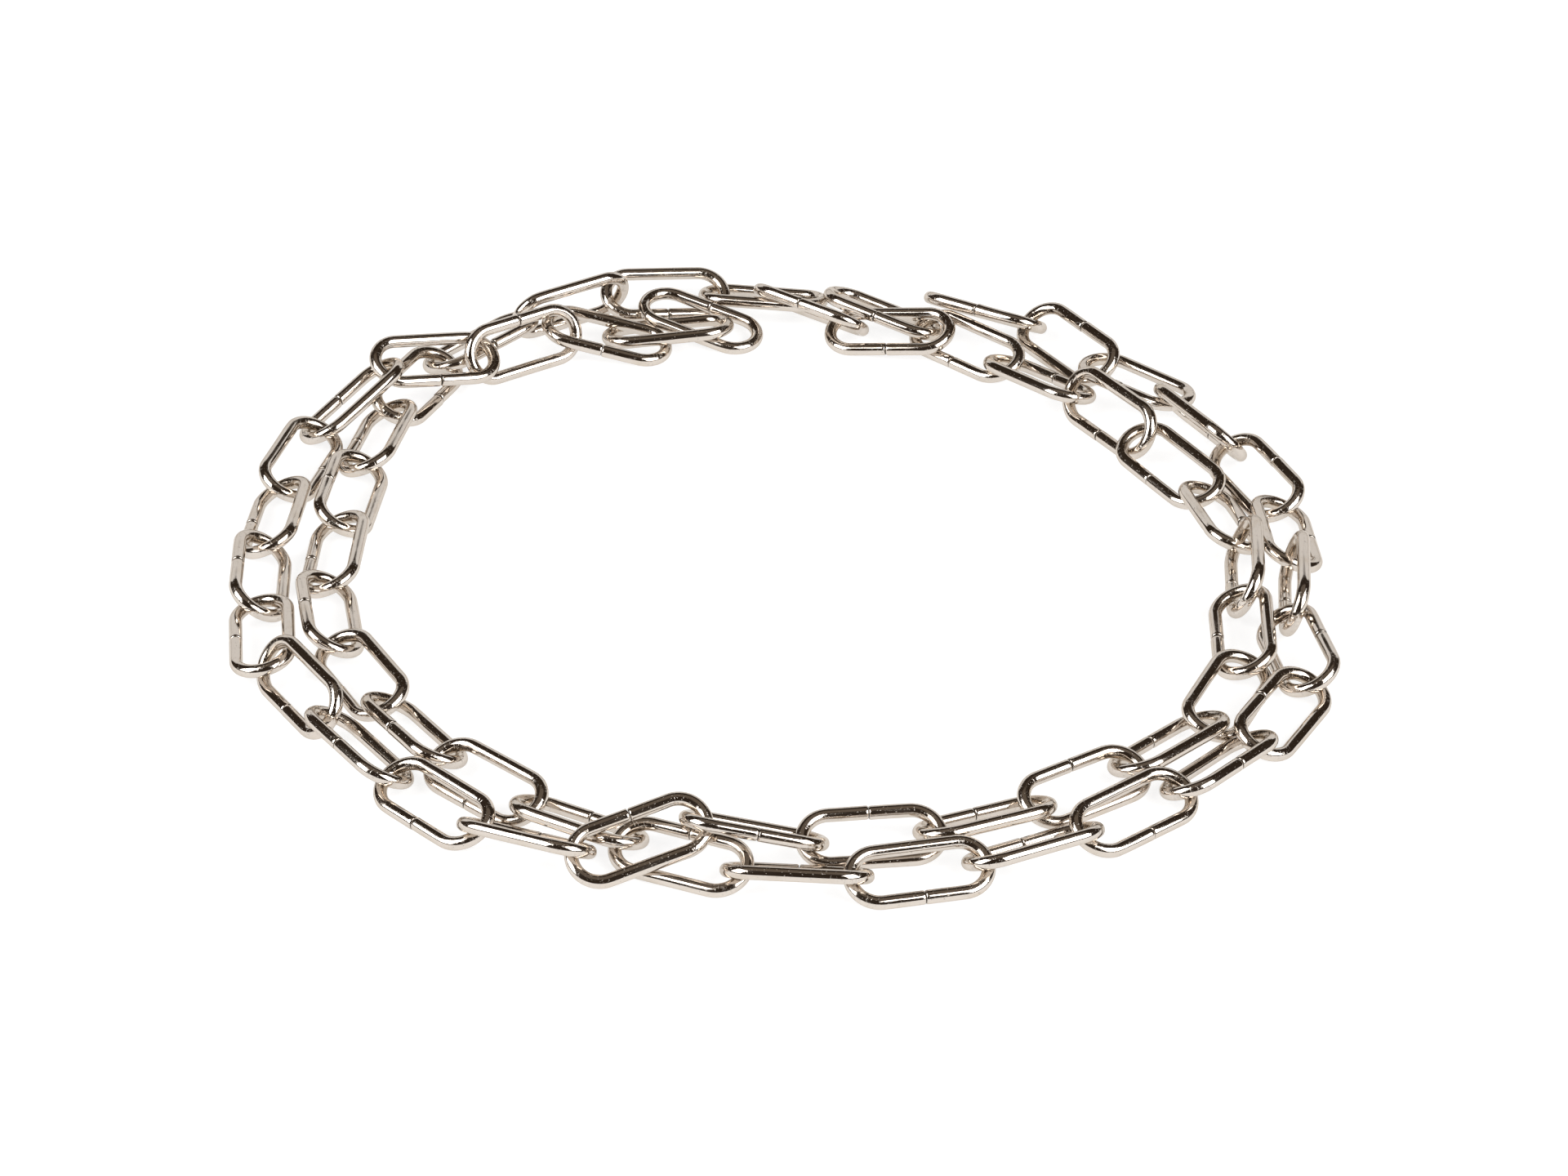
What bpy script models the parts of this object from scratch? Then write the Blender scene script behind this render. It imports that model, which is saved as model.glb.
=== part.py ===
# A length of steel chain, laid out on a level floor in a ring that goes round almost twice.
# Each link is a piece of round wire, bent to a long oval and butted, not welded, at the
# middle of one long side. The ring is modelled in metres with +Z up. Its origin is the
# middle of its footprint, at floor level.

import math

import bpy
import numpy as np
from mathutils import Matrix, Vector

MM = 0.001

# The link, in millimetres
WIRE = 3.0
LINK_LENGTH = 32.3
LINK_WIDTH = 15.0
SEAM_SLIT = 0.2
CLEARANCE = 0.3

# How finely the wire is drawn
BEND_STEPS = 6
SECTION_SIDES_SETTING = 2

# The wire's centre line
BEND_RADIUS = (LINK_WIDTH - WIRE) / 2
STRAIGHT_HALF = (LINK_LENGTH - WIRE) / 2 - BEND_RADIUS
WIRE_RADIUS = WIRE / 2

# The lay of the chain, link by link from one free end to the other. It runs twice round,
# anticlockwise seen from above, and every figure was chosen by hand against the photograph.
# x and y: the middle of the link, in millimetres
# heading: the way the link points, in degrees anticlockwise from +X
# lean: how far its left side, the one towards the middle of the ring, is raised, in degrees
# tilt: how far its front end is raised, in degrees
# rise: how much higher it starts than the rest, in millimetres, so that where two turns
# cross the upper one comes down on the lower
# seam: the side that has the joint in the wire, left or right of the heading
CHAIN_LAY = [
    # back, left of the middle: the free end, on top of the second turn
    (-20, 114, -24, 6, -14, 14, "left"),
    (-28, 109, -172, 11, -6, 11, "right"),
    (-43, 106, 168, -8, 12, 12, "left"),
    (-61, 95, -137, -45, 0, 13, "right"),
    (-82, 89, -150, -20, 2, 15, "left"),
    (-102, 72, -138, -12, -8, 13, "right"),
    # left side, outer turn
    (-114, 49, -106, -25, 0, 8, "left"),
    (-117, 24, -92, 25, 0, 4, "right"),
    (-118, -3, -88, -26, 0, 0, "right"),
    (-117, -27, -88, 12, 3, 0, "right"),
    (-107, -49, -56, 42, 0, 0, "right"),
    (-92, -71, -53, -22, -3, 3, "right"),
    # front, the turn that lies outside on the left
    (-74, -90, -43, 20, 3, 7, "right"),
    (-53, -108, -22, -28, 0, 11, "left"),
    (-30, -112, 20, 32, 3, 14, "left"),
    (-5, -104, -14, -28, 3, 10, "right"),
    (19, -102, 6, 12, -3, 5, "left"),
    (42, -96, 22, -21, 0, 2, "left"),
    (64, -83, 31, 20, 0, 0, "left"),
    (83, -67, 43, -22, 0, 0, "left"),
    (98, -49, 63, 19, 0, 0, "right"),
    # right side, inner turn
    (102, -25, 90, -26, 5, 0, "left"),
    (104, -2, 87, -61, 0, 0, "left"),
    (100, 22, 101, 14, -4, 0, "right"),
    (91, 45, 125, -21, 4, 0, "left"),
    (76, 66, 130, -52, 0, 3, "left"),
    # back, right of the middle, and across to the second turn
    (60, 85, 130, 20, -5, 1, "right"),
    (44, 102, 142, -17, 0, 0, "left"),
    (24, 116, 149, 20, 9, 6, "left"),
    (26, 107, 174, -16, -6, 6, "left"),
    (7, 115, 146, 31, 6, 2, "left"),
    (-4, 123, 166, 27, -3, 0, "right"),
    (-28, 126, -173, -18, -3, 0, "left"),
    (-52, 117, -147, 72, 4, 0, "right"),
    (-73, 101, -148, 21, -3, 0, "left"),
    (-90, 82, -116, -17, 0, 0, "left"),
    # left side, inner turn
    (-96, 59, -96, 21, 0, 0, "right"),
    (-100, 33, -95, -30, 0, 0, "right"),
    (-102, 7, -95, 20, 0, 0, "right"),
    (-102, -17, -85, -25, -2, 0, "right"),
    (-93, -41, -56, 16, 5, 0, "right"),
    (-80, -63, -57, -28, -6, 0, "right"),
    # front, the turn that lies inside on the left
    (-64, -82, -40, 20, 0, 0, "right"),
    (-44, -97, -24, -17, -3, 0, "left"),
    (-22, -108, -18, 16, 0, 0, "left"),
    (3, -115, -4, -24, 0, 0, "left"),
    (29, -115, 6, 20, 0, 0, "right"),
    (53, -106, 27, -24, 0, 0, "left"),
    (74, -93, 41, 24, 3, 0, "right"),
    (93, -76, 46, -24, -3, 0, "right"),
    (108, -56, 59, 19, 0, 0, "left"),
    # right side, outer turn
    (113, -32, 106, -20, 0, 0, "right"),
    (114, -9, 88, -69, 0, 0, "left"),
    (114, 15, 91, 20, -6, 0, "right"),
    (109, 41, 117, -18, -3, 0, "right"),
    (99, 61, 118, 36, 2, 0, "right"),
    (83, 82, 142, -2, 4, 0, "left"),
    # back, right of the middle: the other free end
    (68, 101, 122, -13, 3, 0, "right"),
    (48, 116, 159, 48, -3, 0, "left"),
]


def wire_outline():
    """Centre line of one link from end to end of the wire, in the link's own plane."""
    start = SEAM_SLIT / 2
    points = [(-start, BEND_RADIUS)]
    for side in (-1, 1):
        for step in range(BEND_STEPS + 1):
            turn = math.pi * step / BEND_STEPS
            x = side * (STRAIGHT_HALF + BEND_RADIUS * math.sin(turn))
            y = -side * BEND_RADIUS * math.cos(turn)
            points.append((x, y))
    points.append((start, BEND_RADIUS))
    return np.array([(x, y, 0.0) for x, y in points])


def sampled_outline(outline, spacing=1.1):
    """Points along the centre line, close enough together to measure clearances with."""
    closed = np.vstack([outline, outline[:1]])
    points = []
    for a, b in zip(closed[:-1], closed[1:]):
        count = max(1, round(float(np.linalg.norm(b - a)) / spacing))
        for k in range(count):
            points.append(a + (b - a) * k / count)
    return np.array(points)


def link_axes(heading, lean, tilt):
    """Unit vectors along the link, across it, and out of its plane, as matrix columns."""
    heading, lean, tilt = math.radians(heading), math.radians(lean), math.radians(tilt)
    ahead = np.array([math.cos(heading), math.sin(heading), 0.0])
    left = np.array([-math.sin(heading), math.cos(heading), 0.0])
    along = ahead * math.cos(tilt) + np.array([0.0, 0.0, math.sin(tilt)])
    across = left * math.cos(lean) + np.cross(along, left) * math.sin(lean)
    return np.stack([along, across, np.cross(along, across)], axis=1)


# The start, before the chain settles: millimetres above the floor, degrees between the
# leans of neighbours, and the distance below which two neighbours lie folded together
START_HEIGHT = 6.5
START_SPREAD = 65.0
SPREADING_ROUNDS = 400
FOLDED = 12.0


def leans_to_start_with(leans):
    """The leans of the lay, spread until every link stands well across its neighbours."""
    leans = np.array(leans, float)
    for _ in range(SPREADING_ROUNDS):
        step = np.diff(leans)
        push = np.where(step < 0, -1, 1) * np.maximum(START_SPREAD - abs(step), 0) / 4
        leans[1:] += push
        leans[:-1] -= push
    return leans


def lay_in_line(lay):
    """Where the links start: each points along the run of its neighbours and stands across
    them, so that every one is hooked in the next. Folded links start as they are laid."""
    last = len(lay) - 1
    middle = np.array([(row[0], row[1], START_HEIGHT + row[5]) for row in lay], float)
    leans = leans_to_start_with([row[3] for row in lay])
    axes = []
    for number, row in enumerate(lay):
        near = middle[max(number - 1, 0):number + 2]
        if np.linalg.norm(np.diff(near[:, :2], axis=0), axis=1).min() < FOLDED:
            axes.append(link_axes(*row[2:5]))
            continue
        run = near[-1] - near[0]
        heading = math.degrees(math.atan2(run[1], run[0]))
        tilt = math.degrees(math.atan2(run[2], math.hypot(run[0], run[1])))
        axes.append(link_axes(heading, leans[number], tilt))
    return middle, np.array(axes)


def small_turns(vectors):
    """Rotation matrices for an array of rotation vectors."""
    angle = np.linalg.norm(vectors, axis=1)
    unit = vectors / np.maximum(angle, 1e-12)[:, None]
    x, y, z = unit.T
    zero = np.zeros_like(x)
    cross = np.stack([zero, -z, y, z, zero, -x, -y, x, zero], axis=1).reshape(-1, 3, 3)
    sine = np.sin(angle)[:, None, None]
    rest = (1 - np.cos(angle))[:, None, None]
    return np.eye(3) + sine * cross + rest * np.einsum("nij,njk->nik", cross, cross)


# How the chain settles. Each sweep draws every link towards its place in the lay, slowly
# enough not to slip out of its neighbours, and drops it a little. Then the links that
# touch are parted and the loose hooks are closed up. The last sweeps only part the links.
SWEEPS = 900
SETTLING_SWEEPS = 700
DROP = 0.05
TETHER = 0.04
SLOW_TURN = 0.006
EASE = 0.5
GYRATION_SQUARED = 60.0
REACH = 34.0


def settle_chain(lay):
    """Seat the links on the floor and on each other. Returns their middles and axes."""
    count = len(lay)
    aim = np.array([row[:2] for row in lay], float)
    aim_axes = np.array([link_axes(*row[2:5]) for row in lay])
    body = sampled_outline(wire_outline())
    middle, axes = lay_in_line(lay)
    touching = WIRE + CLEARANCE
    for sweep in range(SWEEPS):
        free = sweep < SETTLING_SWEEPS
        if free:
            fade = 1 - sweep / SETTLING_SWEEPS
            middle[:, :2] += TETHER * fade * (aim - middle[:, :2])
            middle[:, 2] -= DROP * (0.3 + 0.7 * fade)
            turn = np.cross(axes, aim_axes, axis=1).sum(axis=2) / 2
            turn *= TETHER * fade
            turn *= np.minimum(1, SLOW_TURN / (np.linalg.norm(turn, axis=1) + 1e-9))[:, None]
            axes = np.einsum("nij,njk->nik", small_turns(turn), axes)
        points = middle[:, None, :] + np.einsum("nij,mj->nmi", axes, body)
        if sweep % 20 == 0:
            spread = np.linalg.norm(middle[:, None, :] - middle[None, :, :], axis=2)
            first, second = np.nonzero(np.triu(spread < REACH, 1))
            hooked = second - first == 1
        gap = np.zeros((len(first), len(body), len(body)))
        for k in range(3):
            gap += (points[first][:, :, None, k] - points[second][:, None, :, k]) ** 2
        flat = gap.reshape(len(first), -1)
        nearest = np.argmin(flat, axis=1)
        distance = np.sqrt(flat[np.arange(len(first)), nearest])
        at_first = points[first, nearest // len(body)]
        at_second = points[second, nearest % len(body)]
        push = (at_first - at_second) / distance[:, None]
        error = touching - distance
        error = np.where(hooked, np.maximum(error, -0.5), np.maximum(error, 0))
        shift = np.zeros((count, 3))
        twist = np.zeros((count, 3))
        arm_first = np.cross(at_first - middle[first], push)
        arm_second = np.cross(at_second - middle[second], push)
        ease = 2 + ((arm_first ** 2).sum(1) + (arm_second ** 2).sum(1)) / GYRATION_SQUARED
        amount = (EASE * error / ease)[:, None]
        np.add.at(shift, first, amount * push)
        np.add.at(shift, second, -amount * push)
        np.add.at(twist, first, amount * arm_first / GYRATION_SQUARED)
        np.add.at(twist, second, -amount * arm_second / GYRATION_SQUARED)
        lowest = np.argmin(points[:, :, 2], axis=1)
        foot = points[np.arange(count), lowest]
        sunk = np.maximum(WIRE_RADIUS - foot[:, 2], 0)
        arm = np.cross(foot - middle, np.array([0.0, 0.0, 1.0]))
        amount = EASE * sunk / (1 + (arm ** 2).sum(1) / GYRATION_SQUARED)
        shift[:, 2] += amount
        twist += amount[:, None] * arm / GYRATION_SQUARED
        middle = middle + shift
        axes = np.einsum("nij,njk->nik", small_turns(twist), axes)
    return middle, axes


def steel_material():
    """Bright nickel-plated steel wire."""
    material = bpy.data.materials.new("nickel_plated_steel")
    material.use_nodes = True
    shader = material.node_tree.nodes["Principled BSDF"]
    shader.inputs["Base Color"].default_value = (0.60, 0.56, 0.51, 1.0)
    shader.inputs["Metallic"].default_value = 1.0
    shader.inputs["Roughness"].default_value = 0.16
    return material


def wire_link_curve(material):
    """The curve that every link shares: one wire, bent and butted."""
    curve = bpy.data.curves.new("bent_wire", "CURVE")
    curve.dimensions = "3D"
    curve.bevel_depth = WIRE_RADIUS * MM
    curve.bevel_resolution = SECTION_SIDES_SETTING
    curve.resolution_u = 1
    curve.render_resolution_u = 0
    curve.use_fill_caps = True
    outline = wire_outline() * MM
    spline = curve.splines.new("POLY")
    spline.points.add(len(outline) - 1)
    for point, place in zip(spline.points, outline):
        point.co = (*place, 1.0)
    curve.materials.append(material)
    return curve


def lay_links(curve, collection):
    """One object for each link, where the chain settles."""
    middles, axes = settle_chain(CHAIN_LAY)
    links = []
    for number, (middle, frame, row) in enumerate(zip(middles, axes, CHAIN_LAY), start=1):
        link = bpy.data.objects.new(f"link_{number:02d}", curve)
        place = Matrix(frame.tolist()).to_4x4()
        place.translation = (middle * MM).tolist()
        if row[6] == "right":
            place = place @ Matrix.Rotation(math.pi, 4, "Z")
        link.matrix_world = place
        collection.objects.link(link)
        links.append(link)
    return links


def centre_on_footprint(links):
    """Move the ring so that the origin is the middle of its footprint, on the floor."""
    bpy.context.view_layer.update()
    corners = []
    for link in links:
        evaluated = link.evaluated_get(bpy.context.evaluated_depsgraph_get())
        mesh = evaluated.to_mesh()
        corners += [link.matrix_world @ vertex.co for vertex in mesh.vertices]
        evaluated.to_mesh_clear()
    spots = np.array(corners)
    low = spots.min(axis=0)
    high = spots.max(axis=0)
    shift = Vector((-(low[0] + high[0]) / 2, -(low[1] + high[1]) / 2, -low[2]))
    for link in links:
        link.location += shift


def build_chain():
    for thing in list(bpy.data.objects):
        bpy.data.objects.remove(thing, do_unlink=True)
    collection = bpy.data.collections.new("steel_chain")
    bpy.context.scene.collection.children.link(collection)
    curve = wire_link_curve(steel_material())
    links = lay_links(curve, collection)
    centre_on_footprint(links)


build_chain()
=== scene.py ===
import math
import random

import bpy
import numpy as np
from mathutils import Matrix, Vector


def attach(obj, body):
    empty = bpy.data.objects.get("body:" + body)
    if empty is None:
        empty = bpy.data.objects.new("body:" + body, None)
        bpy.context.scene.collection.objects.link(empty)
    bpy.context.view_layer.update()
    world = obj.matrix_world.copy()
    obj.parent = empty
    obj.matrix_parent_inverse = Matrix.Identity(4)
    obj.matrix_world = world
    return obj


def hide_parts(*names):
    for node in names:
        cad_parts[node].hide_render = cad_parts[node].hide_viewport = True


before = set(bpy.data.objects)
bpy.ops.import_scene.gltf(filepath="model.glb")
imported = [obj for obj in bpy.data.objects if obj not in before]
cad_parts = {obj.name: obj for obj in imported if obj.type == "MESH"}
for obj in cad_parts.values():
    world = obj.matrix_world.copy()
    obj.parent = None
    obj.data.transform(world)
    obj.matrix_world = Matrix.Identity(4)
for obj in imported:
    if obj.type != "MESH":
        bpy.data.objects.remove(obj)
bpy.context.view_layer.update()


# The wire. Drawn mild steel, 3 mm thick and nickel plated after bending, so the plate runs
# over the bends and into the butt joint. It is bright but not polished: fine draw marks run
# along it, small pits are scattered over it, and it is warmer where the links rub.
WIRE_DIAMETER = 3.0
PLATE = (0.66, 0.60, 0.54)
WARM_PLATE = (0.58, 0.495, 0.395)
GRIME = (0.10, 0.078, 0.06)
PLATE_AT_GRAZING = (0.76, 0.73, 0.69, 1.0)
CLEAN_ROUGHNESS = 0.065
RIPPLE_DEPTH = 0.00004


class Shade:
    """A value that changes over a surface. Sums on it add the Math nodes that they need."""

    def __init__(self, tree, socket=None):
        self.tree = tree
        self.socket = socket

    def node(self, kind, settings, values, output=0):
        made = self.tree.nodes.new(kind)
        for name, setting in settings.items():
            setattr(made, name, setting)
        for name, value in values.items():
            if isinstance(value, Shade):
                self.tree.links.new(value.socket, made.inputs[name])
            else:
                made.inputs[name].default_value = value
        return Shade(self.tree, made.outputs[output])

    def math(self, operation, first, second):
        return self.node("ShaderNodeMath", {"operation": operation}, {0: first, 1: second})

    def __add__(self, other):
        return self.math("ADD", self, other)

    def __sub__(self, other):
        return self.math("SUBTRACT", self, other)

    def __rsub__(self, other):
        return self.math("SUBTRACT", other, self)

    def __mul__(self, other):
        return self.math("MULTIPLY", self, other)

    __radd__ = __add__
    __rmul__ = __mul__

    def of_mesh(self, label, output):
        """A value that the mesh carries: its Vector is output 1 and its number output 2."""
        return self.node("ShaderNodeAttribute", {"attribute_name": label}, {}, output)

    def stretched(self, along, across):
        """The place on the wire, scaled along it and round it, for a texture to read."""
        return self.node("ShaderNodeVectorMath", {"operation": "MULTIPLY"},
                         {0: self, 1: (along, across, across)})

    def noise(self, detail, roughness=0.55):
        return self.node("ShaderNodeTexNoise", {},
                         {"Vector": self, "Scale": 1.0, "Detail": detail,
                          "Roughness": roughness})

    def between(self, low, high):
        """0 below low and 1 above high."""
        return self.node("ShaderNodeMapRange", {"interpolation_type": "SMOOTHSTEP"},
                         {"Value": self, "From Min": low, "From Max": high})

    def tint(self, first, second):
        """The first colour where this is 0 and the second where it is 1."""
        first, second = (colour if isinstance(colour, Shade) else (*colour, 1.0)
                         for colour in (first, second))
        return self.node("ShaderNodeMix", {"data_type": "RGBA"},
                         {0: self, 6: first, 7: second}, output=2)


def nickel_plate_finish():
    material = bpy.data.materials.new("bright_nickel_plate")
    material.use_nodes = True
    tree = material.node_tree
    shader = tree.nodes["Principled BSDF"]
    wire = Shade(tree)
    place = wire.of_mesh("place_on_wire", 1)
    rubbed = wire.of_mesh("rubbed", 2)
    bent = wire.of_mesh("bent", 2)
    by_cut = wire.of_mesh("by_cut", 2)

    draw_marks = place.stretched(0.09, 2.6).noise(4.0)
    fine_marks = place.stretched(0.35, 9.0).noise(2.0)
    clouds = place.stretched(0.16, 0.30).noise(3.0)
    ripple = place.stretched(0.13, 0.30).noise(1.0)
    pits = place.stretched(2.2, 2.6).noise(2.0, 0.7).between(0.665, 0.72)
    scuffs = place.stretched(2.4, 0.7).noise(3.0).between(0.56, 0.70) * bent

    tarnish = clouds.between(0.46, 0.78) * 0.45 + rubbed * 0.35
    dirt = pits * 0.55 + by_cut * 0.75 + scuffs * 0.12
    colour = dirt.tint(tarnish.tint(PLATE, WARM_PLATE), GRIME)
    tree.links.new(colour.socket, shader.inputs["Base Color"])

    handled = draw_marks.between(0.35, 0.75) * 0.08 + clouds.between(0.4, 0.8) * 0.05
    roughness = CLEAN_ROUGHNESS + handled + scuffs * 0.16 + pits * 0.22 + by_cut * 0.2
    tree.links.new(roughness.socket, shader.inputs["Roughness"])
    shader.inputs["Metallic"].default_value = 1.0
    shader.inputs["Specular Tint"].default_value = PLATE_AT_GRAZING

    height = ripple * 1.5 + draw_marks * 0.08 + fine_marks * 0.03 - pits * 0.35 - scuffs * 0.30
    bump = wire.node("ShaderNodeBump", {}, {"Height": height, "Distance": RIPPLE_DEPTH,
                                            "Strength": 1.0})
    tree.links.new(bump.socket, shader.inputs["Normal"])
    return material


plate = nickel_plate_finish()


# The link. One piece of the wire, 32.3 mm by 15 mm over all, bent round two pins to a long
# oval. Its two cut ends butt in the middle of one long side and are not welded, so a thin
# dark joint shows there. No two are bent quite alike. Sizes are in millimetres.
MM = 0.001
LINK_LENGTH = 32.3
LINK_WIDTH = 15.0
BEND_RADIUS = (LINK_WIDTH - WIRE_DIAMETER) / 2
STRAIGHT_HALF = (LINK_LENGTH - WIRE_DIAMETER) / 2 - BEND_RADIUS
WIRE_RADIUS = WIRE_DIAMETER / 2
BOW = 0.07
HALF_GAP_AT_JOINT = (0.05, 0.12)
STEP_AT_JOINT = 0.11
SPRING_AT_JOINT = (-0.05, 0.08)
FLATTER_AT_BEND = 0.018
FULLER_AT_BEND = 0.010
PRESS_MARKS = 4
PRESS_DEPTH = (0.02, 0.06)
PRESS_LENGTH = 0.55
WORN_RIM = (0.86, 0.905, 0.945, 0.983, 1.0)
RAGGED_RIM = 0.012
GRIME_REACH = 0.05

SIDES = 32
BEND_STEPS = 30
BACK_STEPS = 14
CUT_STEPS = (0.0, 0.05, 0.12, 0.25, 0.45, 0.8, 1.3, 2.0, 3.0, 4.2, 5.6, 7.0)
UP = np.array([0.0, 0.0, 1.0])


def wire_run(half_gap):
    """Distances along the centre line and the points there, from one cut end to the other."""
    points = [(-half_gap - step, BEND_RADIUS) for step in CUT_STEPS]
    for step in range(BEND_STEPS + 1):
        turn = math.pi * step / BEND_STEPS
        points.append((-STRAIGHT_HALF - BEND_RADIUS * math.sin(turn),
                       BEND_RADIUS * math.cos(turn)))
    for step in range(1, BACK_STEPS):
        points.append((STRAIGHT_HALF * (2 * step / BACK_STEPS - 1), -BEND_RADIUS))
    for step in range(BEND_STEPS + 1):
        turn = math.pi * step / BEND_STEPS
        points.append((STRAIGHT_HALF + BEND_RADIUS * math.sin(turn),
                       -BEND_RADIUS * math.cos(turn)))
    points += [(half_gap + step, BEND_RADIUS) for step in reversed(CUT_STEPS)]
    points = np.array([(x, y, 0.0) for x, y in points])
    distance = np.concatenate([[0], np.cumsum(np.linalg.norm(np.diff(points, axis=0), axis=1))])
    return distance, points


def outward(points):
    """The direction away from the middle of the link, in its plane, at each point."""
    core = np.clip(points[:, 0], -STRAIGHT_HALF, STRAIGHT_HALF)
    away = points - np.column_stack([core, np.zeros(len(core)), np.zeros(len(core))])
    return away / np.linalg.norm(away, axis=1)[:, None]


def sprung(points, away, from_cut, end, chance):
    """The centre line as it comes off the pins: bowed a little, its two ends not quite in line."""
    bow = chance.uniform(-BOW, BOW)
    step = chance.uniform(-STEP_AT_JOINT, STEP_AT_JOINT)
    spring = chance.uniform(*SPRING_AT_JOINT)
    points = points + away * (bow * np.cos(points[:, 0] / STRAIGHT_HALF * 1.2))[:, None]
    points += UP * (end * step * np.exp(-from_cut / 2.2))[:, None]
    points += away * (spring * end * np.exp(-from_cut / 2.6))[:, None]
    return points


def worn_radius(points, from_cut, turned, angle, chance):
    """From the centre line to the surface: flatter at the bends, pressed there, worn at the cut."""
    outer = np.cos(angle)[None, :] ** 2
    turned = turned[:, None]
    radius = np.full((len(points), SIDES), WIRE_RADIUS)
    radius *= 1 - FLATTER_AT_BEND * turned * outer + FULLER_AT_BEND * turned * (1 - outer)
    for _ in range(PRESS_MARKS):
        where = chance.choice((-1, 1)) * (STRAIGHT_HALF + chance.uniform(-1.4, 0.6))
        half = chance.choice((-1, 1))
        press = chance.uniform(*PRESS_DEPTH)
        near = np.exp(-((points[:, 0] - where) / PRESS_LENGTH) ** 2) * (points[:, 1] * half > 0)
        facing = chance.uniform(-0.9, 0.9)
        radius -= press * near[:, None] * np.maximum(0, np.cos(angle - facing))[None, :] ** 6
    rim = np.interp(from_cut, CUT_STEPS[:len(WORN_RIM)], WORN_RIM)
    ragged = np.exp(-from_cut / 0.09)[:, None]
    radius *= (rim[:, None]
               + RAGGED_RIM * ragged * np.sin(3 * angle + chance.uniform(0, 6))[None, :])
    return radius


def skin(rings):
    """The faces between the rings of the wire, and the fans that close its two cut ends."""
    faces = []
    for ring in range(rings - 1):
        for k in range(SIDES):
            after = (k + 1) % SIDES
            faces.append((ring * SIDES + k, ring * SIDES + after,
                          (ring + 1) * SIDES + after, (ring + 1) * SIDES + k))
    first, last = rings * SIDES, rings * SIDES + 1
    for k in range(SIDES):
        after = (k + 1) % SIDES
        faces.append((first, after, k))
        faces.append((last, (rings - 1) * SIDES + k, (rings - 1) * SIDES + after))
    return faces


def mark_wear(mesh, maps):
    """Write numbers between 0 and 1 on the surface, and 1 on the two cut faces."""
    for label, values in maps.items():
        level = np.ones(len(mesh.vertices), np.float32)
        level[:values.size] = values.ravel()
        mesh.attributes.new(label, "FLOAT", "POINT").data.foreach_set("value", level)


def bent_wire_mesh(name, chance):
    """A link drawn flat about its middle, with its joint half way along the side at +y."""
    distance, points = wire_run(chance.uniform(*HALF_GAP_AT_JOINT))
    length = distance[-1]
    from_cut = np.minimum(distance, length - distance)
    end = np.where(distance < length / 2, 1.0, -1.0)
    away = outward(points)
    points = sprung(points, away, from_cut, end, chance)
    turned = np.clip((np.abs(points[:, 0]) - STRAIGHT_HALF + 1.2) / 3.0, 0, 1)
    turned = turned * turned * (3 - 2 * turned)
    angle = 2 * math.pi * np.arange(SIDES) / SIDES
    radius = worn_radius(points, from_cut, turned, angle, chance)

    rings = points[:, None, :] + radius[:, :, None] * (
        np.cos(angle)[None, :, None] * away[:, None, :]
        + np.sin(angle)[None, :, None] * UP[None, None, :])
    dished = np.array([[-0.04, 0, 0], [0.04, 0, 0]])
    vertices = np.vstack([rings.reshape(-1, 3), points[[0, -1]] + dished])
    mesh = bpy.data.meshes.new(name)
    mesh.from_pydata((vertices * MM).tolist(), [], skin(len(points)))
    mesh.update()
    mesh.shade_smooth()
    mesh.set_sharp_from_angle(angle=math.radians(40))

    around = len(points) * SIDES
    offset = chance.uniform(0, 400)
    place = np.zeros((len(vertices), 3))
    place[:around, 0] = np.repeat(distance, SIDES) + offset
    place[:around, 1] = np.tile(WIRE_RADIUS * np.cos(angle), len(points))
    place[:around, 2] = np.tile(WIRE_RADIUS * np.sin(angle), len(points))
    place[around:, 0] = offset
    attribute = mesh.attributes.new("place_on_wire", "FLOAT_VECTOR", "POINT")
    attribute.data.foreach_set("vector", place.astype(np.float32).ravel())

    inner = np.clip(-np.cos(angle) - 0.1, 0, 1)[None, :]
    tip = np.clip((np.abs(points[:, 0]) - STRAIGHT_HALF - 2.2) / 3.2, 0, 1)[:, None]
    mark_wear(mesh, {
        "rubbed": inner * tip,
        "bent": np.repeat(turned[:, None], SIDES, axis=1),
        "by_cut": np.repeat(np.exp(-from_cut / GRIME_REACH)[:, None], SIDES, axis=1),
    })
    mesh.materials.append(plate)
    return mesh


# The chain. Fifty-nine links hooked one in the next, lying as they fell in a ring that goes
# round almost twice. Each is put where the frame has it, with its joint on the same side.
scene = bpy.context.scene


def place_of_link(node):
    """Where a link of the frame lies: the matrix that takes a link drawn flat to it."""
    spots = np.array([vertex.co for vertex in node.data.vertices], float)
    spread = np.linalg.eigh(np.cov((spots - spots.mean(axis=0)).T))[1]
    along, across = spread[:, 2], spread[:, 1]
    axes = np.column_stack([along, across, np.cross(along, across)])
    local = spots @ axes
    middle = (local.min(axis=0) + local.max(axis=0)) / 2
    by_joint = local[np.abs(local[:, 0] - middle[0]) < STRAIGHT_HALF * MM / 4]
    if by_joint[:, 1].mean() < middle[1]:
        axes[:, :2] *= -1
        middle[:2] *= -1
    matrix = Matrix(axes.tolist()).to_4x4()
    matrix.translation = Vector((axes @ middle).tolist())
    return matrix


for number, name in enumerate(sorted(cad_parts), start=1):
    mesh = bent_wire_mesh(f"bent_wire_{number:02d}", random.Random(number))
    mesh.transform(place_of_link(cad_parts[name]))
    link = bpy.data.objects.new(f"chain_{name}", mesh)
    scene.collection.objects.link(link)
    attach(link, "root")
    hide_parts(name)


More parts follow.
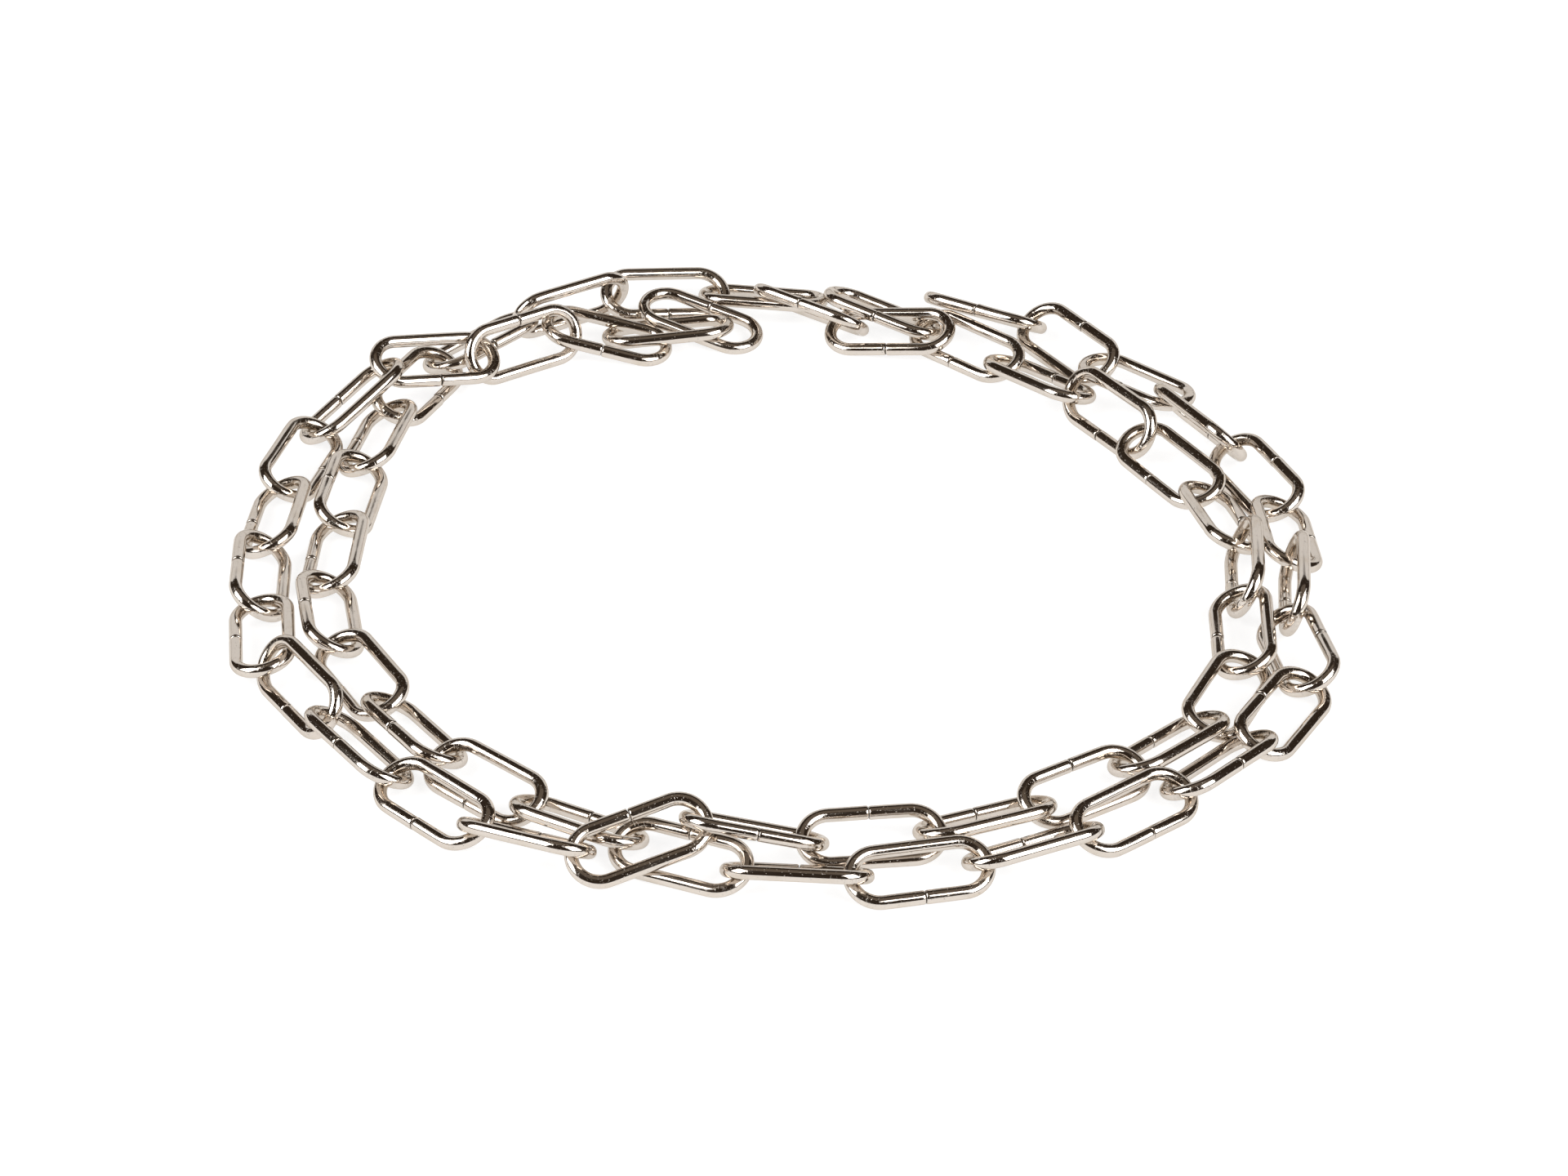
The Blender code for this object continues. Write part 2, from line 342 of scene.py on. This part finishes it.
# The floor. Plain white board, wider than any view takes in. It glows a little by itself,
# so that the ring throws hardly a shadow on it.
HALF_FLOOR = 6.0
BOARD = (0.32, 0.32, 0.32, 1.0)
BOARD_GLOW = 0.80
floor_mesh = bpy.data.meshes.new("floor")
floor_mesh.from_pydata([(x * HALF_FLOOR, y * HALF_FLOOR, 0)
                        for x, y in ((-1, -1), (1, -1), (1, 1), (-1, 1))], [], [(0, 1, 2, 3)])
floor = bpy.data.objects.new("floor", floor_mesh)
scene.collection.objects.link(floor)
white = bpy.data.materials.new("white_board")
white.use_nodes = True
board = white.node_tree.nodes["Principled BSDF"]
board.inputs["Base Color"].default_value = BOARD
board.inputs["Roughness"].default_value = 0.9
board.inputs["Specular IOR Level"].default_value = 0.2
board.inputs["Emission Color"].default_value = (1.0, 1.0, 1.0, 1.0)
board.inputs["Emission Strength"].default_value = BOARD_GLOW
floor_mesh.materials.append(white)


# The light. A large softbox stands on each side of the camera, a low dimmer panel behind
# the ring, and a faint warm one above it. The room beyond them is dark and a little warm,
# which draws the dark bands along the wire.
WHITE_LIGHT = (1.0, 1.0, 1.0)
WARM_LIGHT = (1.0, 0.85, 0.7)
DARK_ROOM = (0.037, 0.026, 0.018, 1.0)


def softbox(name, middle, aim, width, height, radiance, colour):
    light = bpy.data.lights.new(name, "AREA")
    light.shape = "RECTANGLE"
    light.size = width
    light.size_y = height
    light.energy = radiance * math.pi * width * height
    light.color = colour
    holder = bpy.data.objects.new(name, light)
    holder.location = middle
    facing = Vector(aim) - Vector(middle)
    holder.rotation_euler = facing.to_track_quat("-Z", "Y").to_euler()
    scene.collection.objects.link(holder)


softbox("softbox_left", (-1.27, -0.54, 0.92), (0, 0, 0), 1.1, 1.3, 5.6, WHITE_LIGHT)
softbox("softbox_right", (1.09, -0.85, 0.92), (0, 0, 0), 1.25, 1.3, 5.6, WHITE_LIGHT)
softbox("panel_behind", (0.0, 1.6, 0.58), (0, 0, 0.58), 3.2, 1.0, 0.9, WHITE_LIGHT)
softbox("ceiling", (0.0, -0.1, 2.4), (0, -0.1, 0), 2.6, 2.0, 0.12, WARM_LIGHT)

world = bpy.data.worlds.new("dark_room")
world.use_nodes = True
world.node_tree.nodes["Background"].inputs["Color"].default_value = DARK_ROOM
world.node_tree.nodes["Background"].inputs["Strength"].default_value = 1.0
scene.world = world
scene.view_settings.view_transform = "Standard"


# The camera. It stands low in front of the ring and looks down at it, a long way off for
# its size, as for a picture in a catalogue.
CAMERA_ELEVATION = 33.0
CAMERA_DISTANCE = 1.197
FOCAL_SHARE = 6500 / 1920
AIM = (0.0012, -0.0053, 0.0)
camera_data = bpy.data.cameras.new("camera")
camera_data.sensor_width = 36.0
camera_data.lens = FOCAL_SHARE * camera_data.sensor_width
camera_data.clip_end = 50.0
camera = bpy.data.objects.new("camera", camera_data)
rise = math.radians(CAMERA_ELEVATION)
camera.location = Vector(AIM) + CAMERA_DISTANCE * Vector((0, -math.cos(rise), math.sin(rise)))
camera.rotation_euler = (math.pi / 2 - rise, 0, 0)
scene.collection.objects.link(camera)
scene.camera = camera

bpy.context.view_layer.update()
